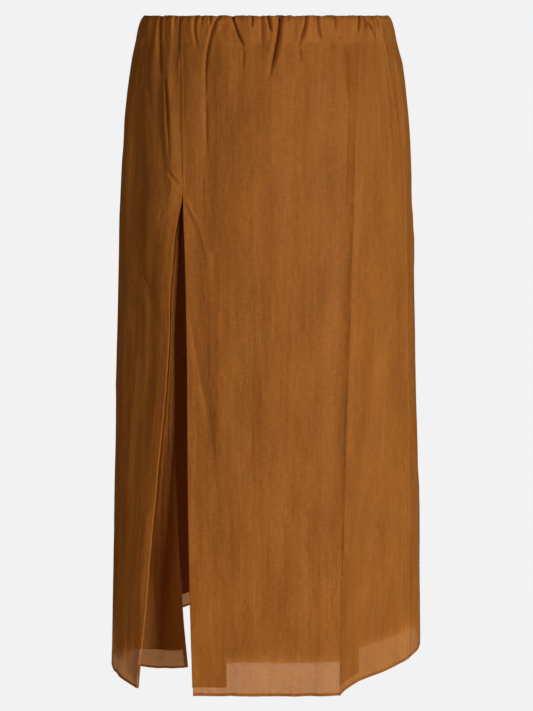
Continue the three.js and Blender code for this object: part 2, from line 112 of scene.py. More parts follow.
# How far the lining hangs inside the shell
Inset = namedtuple("Inset", "drop inset")
LINING_INSET = [
    Inset(0, 1.7),
    Inset(40, 2.4),
    Inset(95, 6),
    Inset(215, 12),
    Inset(435, 18),
    Inset(715, 23),
    Inset(850, 25),
]

# Wide soft folds: a ridge, or a hollow where its height is below nothing, from a station at its upper end to
# one at its lower end
Fold = namedtuple("Fold", "start end upper lower half_width height")
FOLDS = [
    Fold(10, 190, 0.17, 0.13, 7, -1.6),
    Fold(20, 260, 0.09, 0.06, 9, 1.6),
    Fold(25, 760, 0.94, 0.93, 12, -5.0),
    Fold(120, 900, 0.68, 0.62, 34, 3),
    Fold(150, 560, 0.02, 0.16, 10, -2.0),
    Fold(40, 225, 4.84, 4.88, 18, 3.2),
    Fold(40, 240, 0.0, 0.0, 14, -2.2),
    Fold(215, 700, -0.08, -0.06, 38, -11),
    Fold(225, 470, -0.04, -0.03, 16, -3),
    Fold(40, 330, 0.40, 0.36, 30, 3.5),
    Fold(60, 340, 0.12, 0.10, 34, -3.5),
    Fold(70, 420, 0.76, 0.74, 26, -3),
    Fold(300, 760, 0.66, 0.66, 24, -3),
    Fold(380, 1300, 1.2, 1.26, 30, -6),
    Fold(0, 210, 1.6, 1.76, 6, 2.0),
    Fold(200, 900, 1.66, 1.72, 20, 2.5),
    Fold(25, 220, 4.66, 4.84, 10, -2.6),
    Fold(150, 620, 4.5, 4.66, 22, -5),
    Fold(230, 560, 4.74, 4.78, 14, -3.5),
    Fold(10, 240, 4.32, 4.4, 10, -2.6),
    Fold(30, 200, 4.44, 4.43, 9, -2.8),
    Fold(100, 330, 4.50, 4.60, 9, -2.6),
    Fold(50, 300, 4.26, 4.32, 12, 2.4),
    Fold(180, 1200, 3.4, 3.52, 30, -7),
    Fold(120, 1200, 3.04, 2.96, 34, -6),
    Fold(200, 1200, 2.58, 2.46, 28, -7),
]

# Sharp creases of the gathers and the slit, each through three places. A depth below nothing is a ridge.
Crease = namedtuple("Crease", "at0 drop0 at1 drop1 at2 drop2 depth width")
CREASES = [
    Crease(4.28, -2, 4.50, 63, 4.645, 125, 5.1, 6.0),
    Crease(4.63, -2, 4.695, 46, 4.765, 86, 7.1, 2.4),
    Crease(4.78, 60, 4.83, 105, 4.87, 178, 6.1, 2.2),
    Crease(4.40, -2, 4.41, 18, 4.43, 40, 3.0, 1.8),
    Crease(4.52, -2, 4.53, 10, 4.55, 24, 2.2, 1.5),
    Crease(4.80, -2, 4.81, 10, 4.82, 22, 1.9, 1.6),
    Crease(4.895, -2, 4.90, 12, 4.91, 30, 1.9, 1.8),
    Crease(4.975, -2, 4.957, 22, 4.945, 58, 5.8, 3.0),
    Crease(0.04, -2, 0.04, 3, 0.04, 9, 2.2, 1.3),
    Crease(0.09, -2, 0.078, 16, 0.10, 42, 7.1, 1.5),
    Crease(0.122, -2, 0.118, 6, 0.115, 15, 3.3, 1.3),
    Crease(0.163, -2, 0.168, 5, 0.17, 12, 5.1, 1.4),
    Crease(0.23, -2, 0.150, 38, 0.133, 108, 6.4, 1.8),
    Crease(0.135, 90, 0.135, 125, 0.14, 172, 3.0, 2.4),
    Crease(0.292, -2, 0.320, 20, 0.367, 37, 8.5, 1.5),
    Crease(0.352, 36, 0.35, 48, 0.35, 62, 1.9, 2.2),
    Crease(0.40, -2, 0.403, 6, 0.394, 18, 6.1, 1.4),
    Crease(0.455, -2, 0.453, 18, 0.453, 38, 3.0, 3.0),
    Crease(0.49, -2, 0.503, 12, 0.517, 21, 7.5, 1.5),
    Crease(0.497, 24, 0.517, 27, 0.54, 24, 5.4, 1.3),
    Crease(0.562, -2, 0.538, 33, 0.485, 76, 11.9, 2.6),
    Crease(0.605, -2, 0.605, 4, 0.605, 9, 2.2, 1.4),
    Crease(0.71, -2, 0.693, 16, 0.645, 38, 7.5, 1.8),
    Crease(0.66, 34, 0.668, 43, 0.676, 56, 3.0, 2.6),
    Crease(0.75, -2, 0.75, 4, 0.748, 11, 3.0, 1.4),
    Crease(0.775, -2, 0.776, 16, 0.80, 31, 7.8, 1.6),
    Crease(0.86, -2, 0.873, 6, 0.862, 21, 6.5, 1.4),
    Crease(0.866, 25, 0.93, 24, 0.995, 27, 1.8, 1.3),
    Crease(1.05, -2, 1.022, 10, 1.0, 22, 7.1, 1.5),
    Crease(0.915, 26, 0.945, 60, 0.955, 135, 9.5, 7.0),
    Crease(0.955, 110, 0.955, 150, 0.955, 250, 3.6, 7.0),
    Crease(1.16, 6, 1.24, 15, 1.36, 27, 11.5, 1.4),
    Crease(1.37, -2, 1.385, 7, 1.395, 18, 8.5, 1.3),
    Crease(1.30, -2, 1.30, 12, 1.32, 30, 3.6, 1.8),
    Crease(1.45, 14, 1.50, 85, 1.62, 170, -2.6, 1.6),
    Crease(1.53, -2, 1.54, 40, 1.57, 90, 3.4, 2.4),
    Crease(1.12, -2, 1.13, 10, 1.14, 26, 3.0, 2.2),
    Crease(1.40, 122, 1.448, 145, 1.475, 175, -1.2, 2.0),
    Crease(4.84, 178, 4.905, 187, 4.965, 196, 3.9, 1.8),
    Crease(4.895, 202, 4.94, 205, 4.985, 208, 3.1, 1.5),
    Crease(0.004, 207, 0.04, 222, 0.08, 242, -1.6, 1.8),
    Crease(0.004, 212, 0.10, 250, 0.155, 320, -1.3, 3.0),
    Crease(0.003, 320, 0.075, 422, 0.165, 500, 1.8, 5.0),
    Crease(0.165, 500, 0.18, 560, 0.215, 670, 1.6, 9.0),
    Crease(4.413, 262, 4.70, 322, 4.96, 395, 2.9, 8.0),
    Crease(1.66, 670, 1.675, 740, 1.68, 835, -1.2, 2.0),
    Crease(1.62, 690, 1.635, 760, 1.64, 830, 1.3, 2.6),
]

# Where the hidden gathers are: seeded creases between these stations, about this far apart
HIDDEN_GATHERS = (1.72, 4.24)
HIDDEN_SPACING = 13.5

# How many long faint creases are seeded all over the cloth
LONG_CREASES = 420

# Half the spacing of the small ripples along the elastic
RIPPLE = 5.1


def row_at(rows, drop):
    """The columns of a table at any drops, on smooth curves through its rows."""
    drops = np.array([row.drop for row in rows], float)
    i = np.clip(np.searchsorted(drops, drop, side="right") - 1, 0, len(rows) - 2)
    span = drops[i + 1] - drops[i]
    t = np.clip((drop - drops[i]) / span, 0, 1)
    order = np.arange(len(rows))
    before = np.maximum(order - 1, 0)
    after = np.minimum(order + 1, len(rows) - 1)
    made = {}
    for key in rows[0]._fields:
        value = np.array([getattr(row, key) for row in rows], float)
        slope = (value[after] - value[before]) / (drops[after] - drops[before])
        start_pull = slope[i] * span
        end_pull = slope[i + 1] * span
        made[key] = (
            (2 * t**3 - 3 * t**2 + 1) * value[i]
            + (t**3 - 2 * t**2 + t) * start_pull
            + (3 * t**2 - 2 * t**3) * value[i + 1]
            + (t**3 - t**2) * end_pull
        )
    return made


def cubic(p0, p1, p2, p3, t):
    u = 1 - t
    return u**3 * p0 + 3 * u * u * t * p1 + 3 * u * t * t * p2 + t**3 * p3


def bend(start, middle, end, t):
    """A curve from start to end that is drawn towards middle."""
    return (1 - t) ** 2 * start + 2 * t * (1 - t) * middle + t * t * end


def flat(x, y):
    return np.stack(np.broadcast_arrays(x, y), -1).astype(float)


def heading(degrees):
    return flat(np.cos(np.radians(degrees)), np.sin(np.radians(degrees)))


def length(vectors):
    return np.linalg.norm(vectors, axis=-1, keepdims=True)


def unit(vectors):
    return vectors / np.maximum(length(vectors), 1e-9)


def leaving(start, out, end, into, reach, t):
    """A curve between two points that leaves and arrives in given directions."""
    handle = length(end - start) * reach
    return cubic(start, start + out * handle, end - into * handle, end, t)


def ease(value, low, high):
    t = np.clip((value - low) / (high - low), 0, 1)
    return t * t * (3 - 2 * t)


def smooth_line(station, drop):
    """The smooth line of the cloth, before folds and gathers."""
    station, drop = np.broadcast_arrays(np.asarray(station, float), np.asarray(drop, float))
    s, f = row_at(SECTIONS, drop), row_at(SLIT, drop)
    is_open = drop > SLIT_TOP
    slit, seam = flat(s["slitX"], s["edgeY"]), flat(s["seamX"], s["edgeY"])
    right, back, left = flat(s["rightX"], s["rightY"]), flat(0, s["backY"]), flat(s["leftX"], s["leftY"])
    flap = flat(np.where(is_open, f["flapX"], s["slitX"]), np.where(is_open, f["flapY"], s["edgeY"]))
    span = np.clip(np.floor(station), 0, 4)
    t = (station - span)[..., None]
    bow = s["edgeY"] + (s["frontY"] - s["edgeY"]) * 4 / 3
    third = (s["seamX"] - s["slitX"]) / 3
    lines = [
        cubic(slit, flat(s["slitX"] + third, bow), flat(s["seamX"] - third, bow), seam, t),
        leaving(seam, heading(s["turn"]), right, heading(90), 0.32, t),
        leaving(right, heading(90), back, heading(180), 0.42, t),
        leaving(back, heading(180), left, heading(270), 0.42, t),
        leaving(left, heading(270), flap, heading(-s["flapTurn"]), 0.32, t),
    ]
    made = np.zeros(station.shape + (2,))
    for k, line in enumerate(lines):
        made[span == k] = line[span == k]
    return made


def push_direction(station, drop):
    """The direction in which folds and gathers push the cloth. It turns evenly round a corner."""
    reach = 0.05

    def near(at):
        return np.where(drop <= SLIT_TOP, at % SLIT_EDGE, np.clip(at, 0, SLIT_EDGE))

    along = unit(smooth_line(near(station + reach), drop) - smooth_line(near(station - reach), drop))
    return flat(along[..., 1], -along[..., 0])


def hidden_creases():
    """Gathers for the sides that the photograph doesn't show, as uneven as those that it does."""
    random = np.random.default_rng(11)
    creases = []
    at = HIDDEN_GATHERS[0]
    while at < HIDDEN_GATHERS[1]:
        reach = 9 + 95 * random.random() ** 2.6
        slant = random.uniform(-0.035, 0.035)
        depth = random.uniform(2.5, 7) * min(1, 0.6 + reach / 60)
        width = random.uniform(1.3, 2.2) + reach / 60
        creases.append(Crease(at, -2, at + slant * 0.4, reach * 0.4, at + slant, reach, depth, width))
        at += HIDDEN_SPACING / SPAN_LENGTH * random.uniform(0.55, 1.6)
    return creases


def long_creases():
    """Long soft creases down the cloth everywhere, too faint to place by hand."""
    random = np.random.default_rng(5)
    creases = []
    for _ in range(LONG_CREASES):
        at = random.uniform(0, SLIT_EDGE)
        drop = random.uniform(40, 800)
        reach = random.uniform(50, 240)
        slant = random.uniform(-0.07, 0.07)
        width = 2.2 + 13 * random.random() ** 1.5
        depth = random.choice([-1, 1]) * width * random.uniform(0.05, 0.13)
        middle = (at + slant * 0.6, drop + reach * 0.4)
        creases.append(Crease(at, drop, *middle, at + slant, drop + reach, depth, width))
    return creases


ALL_CREASES = CREASES + hidden_creases() + long_creases()


def crease_relief(station, drop):
    """How far the creases push the cloth out. Beside a crease the cloth swells a little."""
    station, drop = np.broadcast_arrays(station, drop)
    relief = np.zeros(station.shape)
    t = np.linspace(0, 1, 8)
    for c in ALL_CREASES:
        # the crease's line, through its three places
        at = bend(c.at0, 2 * c.at1 - (c.at0 + c.at2) / 2, c.at2, t)
        down = bend(c.drop0, 2 * c.drop1 - (c.drop0 + c.drop2) / 2, c.drop2, t)
        # how much cloth there is to a station at its middle
        ends = smooth_line(np.array([c.at1 - 0.01, c.at1 + 0.01]), c.drop1)
        scale = float(length(ends[1] - ends[0])[0]) / 0.02
        away = station - c.at1
        if c.drop1 < SLIT_TOP:
            away = (away + SLIT_EDGE / 2) % SLIT_EDGE - SLIT_EDGE / 2
        # the places that it reaches
        reach = 9 * c.width
        across = np.ptp(at) * scale + reach
        close = (np.abs(away) * scale < across) & (drop > down.min() - reach) & (drop < down.max() + reach)
        if not close.any():
            continue
        # how far each of them is from the line, and how far along the line its nearest point is
        x, y = (away[close] + c.at1 - c.at0) * scale, drop[close] - c.drop0
        line_x, line_y = (at - c.at0) * scale, down - c.drop0
        best, share = np.full(x.shape, 1e9), np.zeros(x.shape)
        for k in range(len(t) - 1):
            dx, dy = line_x[k + 1] - line_x[k], line_y[k + 1] - line_y[k]
            along = np.clip(((x - line_x[k]) * dx + (y - line_y[k]) * dy) / (dx * dx + dy * dy), 0, 1)
            far = np.hypot(x - line_x[k] - along * dx, y - line_y[k] - along * dy)
            nearer = far < best
            best[nearer] = far[nearer]
            share[nearer] = (t[k] + along * (t[k + 1] - t[k]))[nearer]
        starts_at_top = c.drop0 < 0
        fade = (1.0 if starts_at_top else ease(share, 0, 0.25)) * (1 - ease(share, 0.55, 1.0))
        sharp = np.exp(-((best / c.width) ** 1.25))
        swell = 0.3 * np.exp(-((best / (3.2 * c.width)) ** 2))
        relief[close] -= c.depth * fade * (sharp - swell)
    return relief


def fold_relief(station, drop):
    """How far the wide folds push the cloth out. Above the slit's top they cross the slit seam."""
    station, drop = np.broadcast_arrays(station, drop)
    relief = np.zeros(station.shape)
    sewn = 1 - ease(drop, SLIT_TOP, SLIT_TOP + 70)
    for f in FOLDS:
        down = (drop - f.start) / (f.end - f.start)
        at = f.upper + (f.lower - f.upper) * down
        height = f.height * np.sin(math.pi * np.clip(down, 0, 1))
        for turn, share in ((0, 1), (-SLIT_EDGE, sewn), (SLIT_EDGE, sewn)):
            away = (station - at - turn) * SPAN_LENGTH / f.half_width
            relief += height * share * np.exp(-away * away)
    return relief


def ripples(station, drop):
    """Small uneven gathers along the elastic, and long faint ones below it. They end at the slit seam."""
    small = np.sin(
        station * SPAN_LENGTH / RIPPLE * math.pi + 1.7 * np.sin(station * 23) + 1.1 * np.sin(station * 61)
    )
    middle = np.sin(station * 37 + 1.3 * np.sin(station * 11 + 2) + drop * 0.004)
    long = np.sin(station * 19 + 1.9 * np.sin(station * 7 + 1) + drop * 0.0025)
    return ease(np.minimum(station, SLIT_EDGE - station), 0, 0.05) * (
        0.5 * small * np.exp(-((drop / 26) ** 2))
        + 0.9 * middle * np.exp(-((drop / 90) ** 2))
        + 0.45 * long * (1 - np.exp(-((drop / 60) ** 2)))
    )


def seam_relief(station, drop):
    """The pressed front seam stands up as a fine ridge. The other seams lie in a groove with raised sides."""
    relief = 0.9 * np.exp(-(((station - 1) * FRONT_SPAN / 1.5) ** 2))
    for at in (RIGHT_SEAM, LEFT_SEAM):
        away = np.abs(station - at) * SIDE_SPAN
        relief += 0.45 * np.exp(-(((away - 2.6) / 1.5) ** 2)) - 0.5 * np.exp(-((away / 1.0) ** 2))
    away = np.minimum(station, SLIT_EDGE - station) * FRONT_SPAN
    closed = 1 - ease(drop, SLIT_TOP - 6, SLIT_TOP + 2)
    relief += closed * (0.3 * np.exp(-((away / 1.1) ** 2)) - 0.12 * np.exp(-(((away - 2.4) / 1.3) ** 2)))
    return relief


def recess(drop):
    """How much deeper the underlay and lining lie behind the slit's narrow top, in the front's shadow."""
    return 12 * ease(drop, SLIT_TOP - 6, SLIT_TOP + 19) * (1 - ease(drop, 330, 520))


def casing_relief(drop):
    """The row of stitches under the elastic pulls the cloth in."""
    return -0.18 * np.exp(-(((drop - CASING_HEIGHT) / 1.6) ** 2)) - 2.2 * np.exp(-((drop / 3.2) ** 2))


def hem_drop(station, hem):
    behind = (1 - np.cos(2 * math.pi * station / SLIT_EDGE - 0.8)) / 2
    return hem - BACK_HEM_RISE * behind * ease(station, 1, 2) * (1 - ease(station, 4.3, 5))


def shell(station, drop, gathered=True):
    """Points on the outer face of the shell."""
    station, drop = np.broadcast_arrays(np.asarray(station, float), np.asarray(drop, float))
    push = fold_relief(station, drop)
    if gathered:
        push = push + crease_relief(station, drop) + ripples(station, drop)
        push = push + seam_relief(station, drop) + casing_relief(drop)
    line = smooth_line(station, drop) + push_direction(station, drop) * push[..., None]
    return np.concatenate([line, (TOP_Z - drop)[..., None]], -1)


def normals(grid):
    """The direction out of a grid of points. Its rows run down, and its columns towards higher stations."""
    down, across = np.gradient(grid, axis=0), np.gradient(grid, axis=1)
    return unit(np.cross(down, across))


def cloth_uv(grid):
    """Lengths in metres along the cloth, across and down, which the weave follows."""
    across = np.linalg.norm(np.diff(grid, axis=1), axis=-1)
    middle = np.concatenate([[0], np.cumsum(across.mean(0))])
    down = np.linalg.norm(np.diff(grid, axis=0), axis=-1).mean(1)
    drop = np.concatenate([[0], np.cumsum(down)])
    u, v = np.meshgrid(middle, drop)
    return np.stack([u, v], -1) / 1000


def make_piece(name, grid, material):
    """One mesh object from a grid of points in millimetres, in place of the CAD node of that name."""
    rows, columns = grid.shape[:2]
    index = np.arange(rows * columns).reshape(rows, columns)
    corners = [index[:-1, :-1], index[1:, :-1], index[1:, 1:], index[:-1, 1:]]
    faces = np.stack(corners, -1).reshape(-1, 4)
    points = grid.reshape(-1, 3) / 1000
    uvs = cloth_uv(grid).reshape(-1, 2)
    mesh = bpy.data.meshes.new(name + "_cloth")
    mesh.vertices.add(len(points))
    mesh.vertices.foreach_set("co", points.astype(np.float32).ravel())
    mesh.loops.add(len(faces) * 4)
    mesh.loops.foreach_set("vertex_index", faces.astype(np.int32).ravel())
    mesh.polygons.add(len(faces))
    mesh.polygons.foreach_set("loop_start", np.arange(0, len(faces) * 4, 4, dtype=np.int32))
    mesh.polygons.foreach_set("use_smooth", np.ones(len(faces), bool))
    mesh.uv_layers.new(name="cloth").data.foreach_set("uv", uvs[faces.ravel()].astype(np.float32).ravel())
    mesh.update(calc_edges=True)
    mesh.validate()
    mesh.materials.append(material)
    piece = bpy.data.objects.new(name + "_cloth", mesh)
    bpy.context.scene.collection.objects.link(piece)
    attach(piece, "root")
    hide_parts(name)
    return piece


# How far from a seam the extra columns stand that give its relief, and the least that two columns are apart,
# in stations
BESIDE_SEAM = np.array([0.4, 0.9, 1.5, 2.2, 3.0, 4.0])
LEAST_STEP = 0.0012


def spaced(first, last, count, crowded):
    """Stations from first to last, with closer ones beside each crowded place."""
    stations = np.linspace(first, last, count)
    extra = [at + side * BESIDE_SEAM / FRONT_SPAN for at in crowded for side in (-1, 1)]
    stations = np.unique(np.clip(np.concatenate([stations, *extra]), first, last))
    return stations[np.concatenate([[True], np.diff(stations) > LEAST_STEP])]


def turned(edge, out, onward, radius, angles):
    """Places round a turn of the cloth, which goes on from an edge and back behind its outer face."""
    return [edge - out * radius * (1 - math.cos(a)) + onward * radius * math.sin(a) for a in angles]


def fold_up(grid, radius, width):
    """Rows that turn the lower edge of a grid up behind it, as a narrow hem."""
    edge, away = grid[-1], normals(grid)[-1]
    down = unit(edge - grid[-2])
    turns = turned(edge, away, down, radius, np.linspace(0.6, math.pi, 5))
    top = turns[-1] - down * width
    return np.concatenate([grid, np.stack([*turns, top])])


# Levels of the rows, close where the cloth is gathered
UPPER_DROPS = np.concatenate([np.arange(CASING_HEIGHT, 60, 1.1), np.arange(60, 141, 1.6)])
LOWER_DROPS = np.concatenate([np.arange(141, 230, 2.2), np.arange(230, FRONT_LENGTH, 4.2), [FRONT_LENGTH]])
PANEL_DROPS = np.concatenate([UPPER_DROPS, LOWER_DROPS])
LINING_UPPER, LINING_LOWER = np.arange(CASING_HEIGHT + 1, 140, 4), np.arange(140, LINING_HEM, 6)
LINING_DROPS = np.concatenate([LINING_UPPER, LINING_LOWER, [LINING_HEM]])

# Hems: the radius of the turn, and how far the cloth goes up behind it
HEM_RADIUS, HEM_WIDTH = 0.7, 3.2
FINE_HEM_RADIUS, FINE_HEM_WIDTH = 0.5, 2.6

# How the cloth turns back round the slit's edges
EDGE_RADIUS = 0.75
EDGE_ANGLES = np.linspace(0.1, math.pi * 0.9, 6)


def hung(station, drop):
    """Drops scaled so that the lowest row reaches the hem."""
    hem = hem_drop(station, FRONT_LENGTH)
    return CASING_HEIGHT + (drop - CASING_HEIGHT) * (hem - CASING_HEIGHT) / (FRONT_LENGTH - CASING_HEIGHT)


def shell_grid(stations, drops):
    station = np.broadcast_to(stations, (len(drops), len(stations)))
    return shell(station, hung(station, drops[:, None]))


def panel(name, first, last, spacing, crowded, material):
    """A panel of the shell, with columns about spacing apart and a hem."""
    count = int((last - first) * LARGEST_SPAN / spacing)
    grid = fold_up(shell_grid(spaced(first, last, count, crowded), PANEL_DROPS), HEM_RADIUS, HEM_WIDTH)
    return make_piece(name, grid, material)


def facing(name, first, material, wraps):
    """The strip turned back behind a panel's edge, which it wraps where that edge is free."""
    drops = LOWER_DROPS[(LOWER_DROPS > SLIT_TOP + 2) & (LOWER_DROPS < FACING_HEM)]
    grid = shell_grid(first + np.linspace(0.0005, FACING_WIDTH / FACING_SPAN, 20), drops)
    out = normals(grid)
    behind = grid - out * 2 * EDGE_RADIUS
    if wraps:
        across = unit(grid[:, :1] - grid[:, 1:2])
        turns = turned(grid[:, :1], out[:, :1], across, EDGE_RADIUS, EDGE_ANGLES)
        behind = np.concatenate([*turns, behind[:, 1:]], axis=1)
    return make_piece(name, behind, material)


def casing(material):
    """The elastic casing: a tube of cloth round the waist, with an outer face, a top and an inner face."""
    thickness, top_depth, top_rise = 3.6, 1.7, 1.2
    stations = np.append(spaced(0, LAST_STATION, 1000, (1,)), SLIT_EDGE - 1e-7)
    drops = np.concatenate([[CASING_HEIGHT + 0.3], np.arange(CASING_HEIGHT - 0.8, 1.2, -1.1)])[:, None]
    station = np.broadcast_to(stations, (len(drops), len(stations)))
    outer = shell(station, drops)
    # the top edge dips where the cloth is drawn in
    dip = 0.3 * crease_relief(station, drops) + 0.5 * ripples(station, drops)
    outer[..., 2] += np.clip(dip, -1.6, 0.5) * np.exp(-drops / 6)
    outer = outer[::-1]
    outer[:, -1] = outer[:, 0]
    out = normals(outer)
    out[..., 2] = 0
    top, away = outer[0], unit(out)[0]
    up = np.array([0, 0, 1.0])
    turns = [
        top - away * top_depth * (1 - math.cos(a)) + up * top_rise * math.sin(a)
        for a in np.linspace(math.pi * 0.92, 0.25, 8)
    ]
    drops = np.linspace(CASING_HEIGHT + 0.3, 2.2, 12)[:, None]
    station = np.broadcast_to(stations, (len(drops), len(stations)))
    inner = shell(station, drops, gathered=False)
    push = 0.8 * crease_relief(station, drops) + ripples(station, drops) - thickness
    inner[..., :2] += push_direction(station, drops) * push[..., None]
    inner[:, -1] = inner[:, 0]
    grid = np.concatenate([inner, np.stack(turns), outer])
    return make_piece("waist_casing", grid, material)


def underlay(material):
    """The flap's cloth turned back: it wraps the flap's edge, runs back, folds, and ends in a hemmed edge."""
    drops = np.concatenate([[UNDERLAY_TOP], LOWER_DROPS[LOWER_DROPS > UNDERLAY_TOP + 1]])
    s = row_at(SLIT, drops)
    # the flap's edge, and the directions on along the cloth and out of it there
    near = np.array([SLIT_EDGE - 0.02, LAST_STATION])
    edge = shell(np.broadcast_to(near, (len(drops), 2)), drops[:, None])
    flap = edge[:, 1, :2]
    along = unit(flap - edge[:, 0, :2])
    out = flat(along[:, 1], -along[:, 0])
    # the fold at the back, and the free edge
    free = flat(s["freeX"], s["freeY"] + recess(drops))
    depth = free[:, 1:] - s["flapY"][:, None]
    corner = flat(s["flapX"] - np.minimum(2.5, depth[:, 0] * 0.12), free[:, 1] + depth[:, 0] * 0.07)
    bow = (corner + free) / 2 + flat(0, -0.16 * depth[:, 0])
    # the turn round the flap's edge widens at the slit's top, and again further down
    radius = EDGE_RADIUS * ease(drops, SLIT_TOP, SLIT_TOP + 14) + EDGE_RADIUS * ease(drops, 400, 700)
    radius = radius[:, None]
    start = flap - out * 2 * radius - along * 0.3
    fold = np.minimum(4.5, depth * 0.4)
    before = corner + unit(start - corner) * fold
    after = corner + unit(bow - corner) * fold
    turns = turned(flap, out, along, radius, EDGE_ANGLES)
    strip = [start + (before - start) * t for t in np.linspace(0.12, 1, 10)]
    back_fold = [bend(before, corner, after, t) for t in np.linspace(0.15, 0.85, 6)]
    rest = [bend(after, bow, free, t) for t in np.linspace(0, 1, 26)]
    line = np.stack([*turns, *strip, *back_fold, *rest], axis=1)
    u = np.linspace(0, 1, line.shape[1])[None, :]
    wave = 0.5 * np.sin(u * 21 + drops[:, None] * 0.013) + 0.35 * np.sin(u * 43 - drops[:, None] * 0.021)
    line[..., 1] += wave * ease(u, 0.45, 0.6) * ease(drops[:, None], 320, 450)
    height = np.broadcast_to((TOP_Z - drops)[:, None, None], line.shape[:2] + (1,))
    grid = np.concatenate([line, height], -1)
    # the free edge is turned under
    away, back = normals(grid)[:, -1:], unit(grid[:, -1:] - grid[:, -2:-1])
    hem = turned(grid[:, -1:], away, back, 0.6, np.linspace(0.5, math.pi, 4))
    grid = np.concatenate([grid, *hem, hem[-1] - back * 4], axis=1)
    grid = fold_up(grid, FINE_HEM_RADIUS, FINE_HEM_WIDTH)
    return make_piece("slit_underlay", grid, material)


def lining_points(station, drop):
    """The lining hangs inside the shell's line, drawn in towards the middle of the skirt, but straight back
    at the pressed front seam and less at the sides."""
    grid = shell(station, drop, gathered=False)
    gathers = (crease_relief(station, drop) + ripples(station, drop)) * (1 - ease(drop, 60, 170))
    grid[..., :2] += push_direction(station, drop) * gathers[..., None]
    at_sides = np.exp(-(((station - 2) / 0.45) ** 2)) + np.exp(-(((station - 4.1) / 0.45) ** 2))
    inset = row_at(LINING_INSET, drop)["inset"] * (1 - 0.55 * at_sides * ease(drop, 300, 600))
    straight_back = np.exp(-(((station - 1) / 0.22) ** 2))[..., None]
    inward = unit(-grid[..., :2]) * (1 - straight_back) + flat(0, 1) * straight_back
    wave = 0.8 * np.sin(station * 31 + drop * 0.006) + 0.6 * np.sin(station * 53 - drop * 0.009 + 1)
    grid[..., :2] += inward * (inset + wave * ease(drop, 60, 300))[..., None]
    return grid


def lining_piece(name, grid, material):
    return make_piece(name, fold_up(grid, FINE_HEM_RADIUS, FINE_HEM_WIDTH), material)


def lining(name, first, last, material):
    """A part of the lining. Its first station is one for all levels, or one for each."""
    first = np.broadcast_to(first, LINING_DROPS.shape)[:, None]
    station = first + (last - first) * np.linspace(0, 1, 110)
    return lining_piece(name, lining_points(station, hung(station, LINING_DROPS[:, None])), material)


def lining_left(name, material):
    """Below the slit's top the lining's left part turns behind the flap and ends behind the underlay."""
    stations = np.linspace(LINING_LEFT_FROM, SLIT_EDGE - 0.001, 90)
    station = np.broadcast_to(stations, (len(LINING_DROPS), len(stations)))
    drop = hung(np.full(station.shape, LINING_LEFT_FROM), LINING_DROPS[:, None])
    # its hem hangs lower behind the flap's side
    lower = 26 * ease(station, 3.8, 4.1) - 18 * ease(station, 4.24, 4.42) + 9 * ease(station, 4.5, 4.95)
    drop = drop + lower * ease(drop, 430, LINING_HEM)
    sewn = lining_points(station, drop)
    sewn[..., 1] += recess(drop) * ease(station, 4.6, 4.85)
    # where it hangs free, from its turn to the underlay's free edge
    s = row_at(SLIT, np.maximum(drop[:, :1], SLIT_TOP))
    turn = np.searchsorted(stations, LINING_TURN)
    start = sewn[:, turn : turn + 1, :2]
    toward = unit(sewn[:, turn + 1 : turn + 2, :2] - start)
    end = flat(s["freeX"] - 2.5, s["freeY"] + 4 + recess(drop[:, :1]))
    into = heading(-30 * (1 - ease(drop[:, :1], 430, 780)))
    t = np.clip((stations - stations[turn]) / (stations[-1] - stations[turn]), 0, 1)[None, :, None]
    hanging = leaving(start, toward, end, into, 0.4, t)
    wave = 1.1 * np.sin(t * 17 + drop[..., None] * 0.01) * np.sin(t * math.pi)
    hanging = hanging + flat(0, wave[..., 0])
    apart = ease(drop, SLIT_TOP + 10, 430)[..., None] * (station > stations[turn])[..., None]
    grid = np.concatenate([sewn[..., :2] * (1 - apart) + hanging * apart, sewn[..., 2:]], -1)
    return lining_piece(name, grid, material)


class Nodes:
    """Makes a node tree a line at a time."""

    def __init__(self, name):
        self.material = bpy.data.materials.new(name)
        self.material.use_nodes = True
        self.tree = self.material.node_tree
        self.tree.nodes.clear()

    def add(self, kind, inputs=None, **settings):
        node = self.tree.nodes.new(kind)
        for key, value in settings.items():
            setattr(node, key, value)
        for key, value in (inputs or {}).items():
            if isinstance(value, bpy.types.NodeSocket):
                self.tree.links.new(value, node.inputs[key])
            else:
                node.inputs[key].default_value = value
        return node

    def math(self, operation, a, b=0.0):
        return self.add("ShaderNodeMath", {0: a, 1: b}, operation=operation).outputs[0]

    def total(self, *parts):
        """the sum of values, each given with its weight"""
        weighed = [self.math("MULTIPLY", value, weight) for value, weight in parts]
        result = weighed[0]
        for value in weighed[1:]:
            result = self.math("ADD", result, value)
        return result

    def spread(self, value, low, high, least=0.0, most=1.0):
        """value, which goes from least to most, spread over low to high"""
        inputs = {"Value": value, "From Min": least, "From Max": most, "To Min": low, "To Max": high}
        return self.add("ShaderNodeMapRange", inputs).outputs["Result"]

    def scaled(self, cloth, across, down):
        return self.add("ShaderNodeMapping", {"Vector": cloth, "Scale": (across, down, 1)}).outputs[0]

    def noise(self, place, scale, detail, roughness):
        inputs = {"Vector": place, "Scale": scale, "Detail": detail, "Roughness": roughness}
        return self.add("ShaderNodeTexNoise", inputs).outputs["Fac"]

    def streaks(self, cloth, across, down, detail):
        """noise drawn out along the cloth: across and down are how many times it repeats in a metre"""
        return self.noise(self.scaled(cloth, across, down), 1.0, detail, 0.55)


# Threads in a metre of cloth, and the colours of the shell and of the light that passes through it
THREADS = 1500
SHELL_COLOUR = (0.43, 0.152, 0.024)
SHELL_DARK = (0.27, 0.089, 0.013)
LINING_COLOUR = (0.34, 0.125, 0.022)
LINING_DARK = (0.23, 0.080, 0.013)
GLOW = (0.68, 0.30, 0.078, 1)


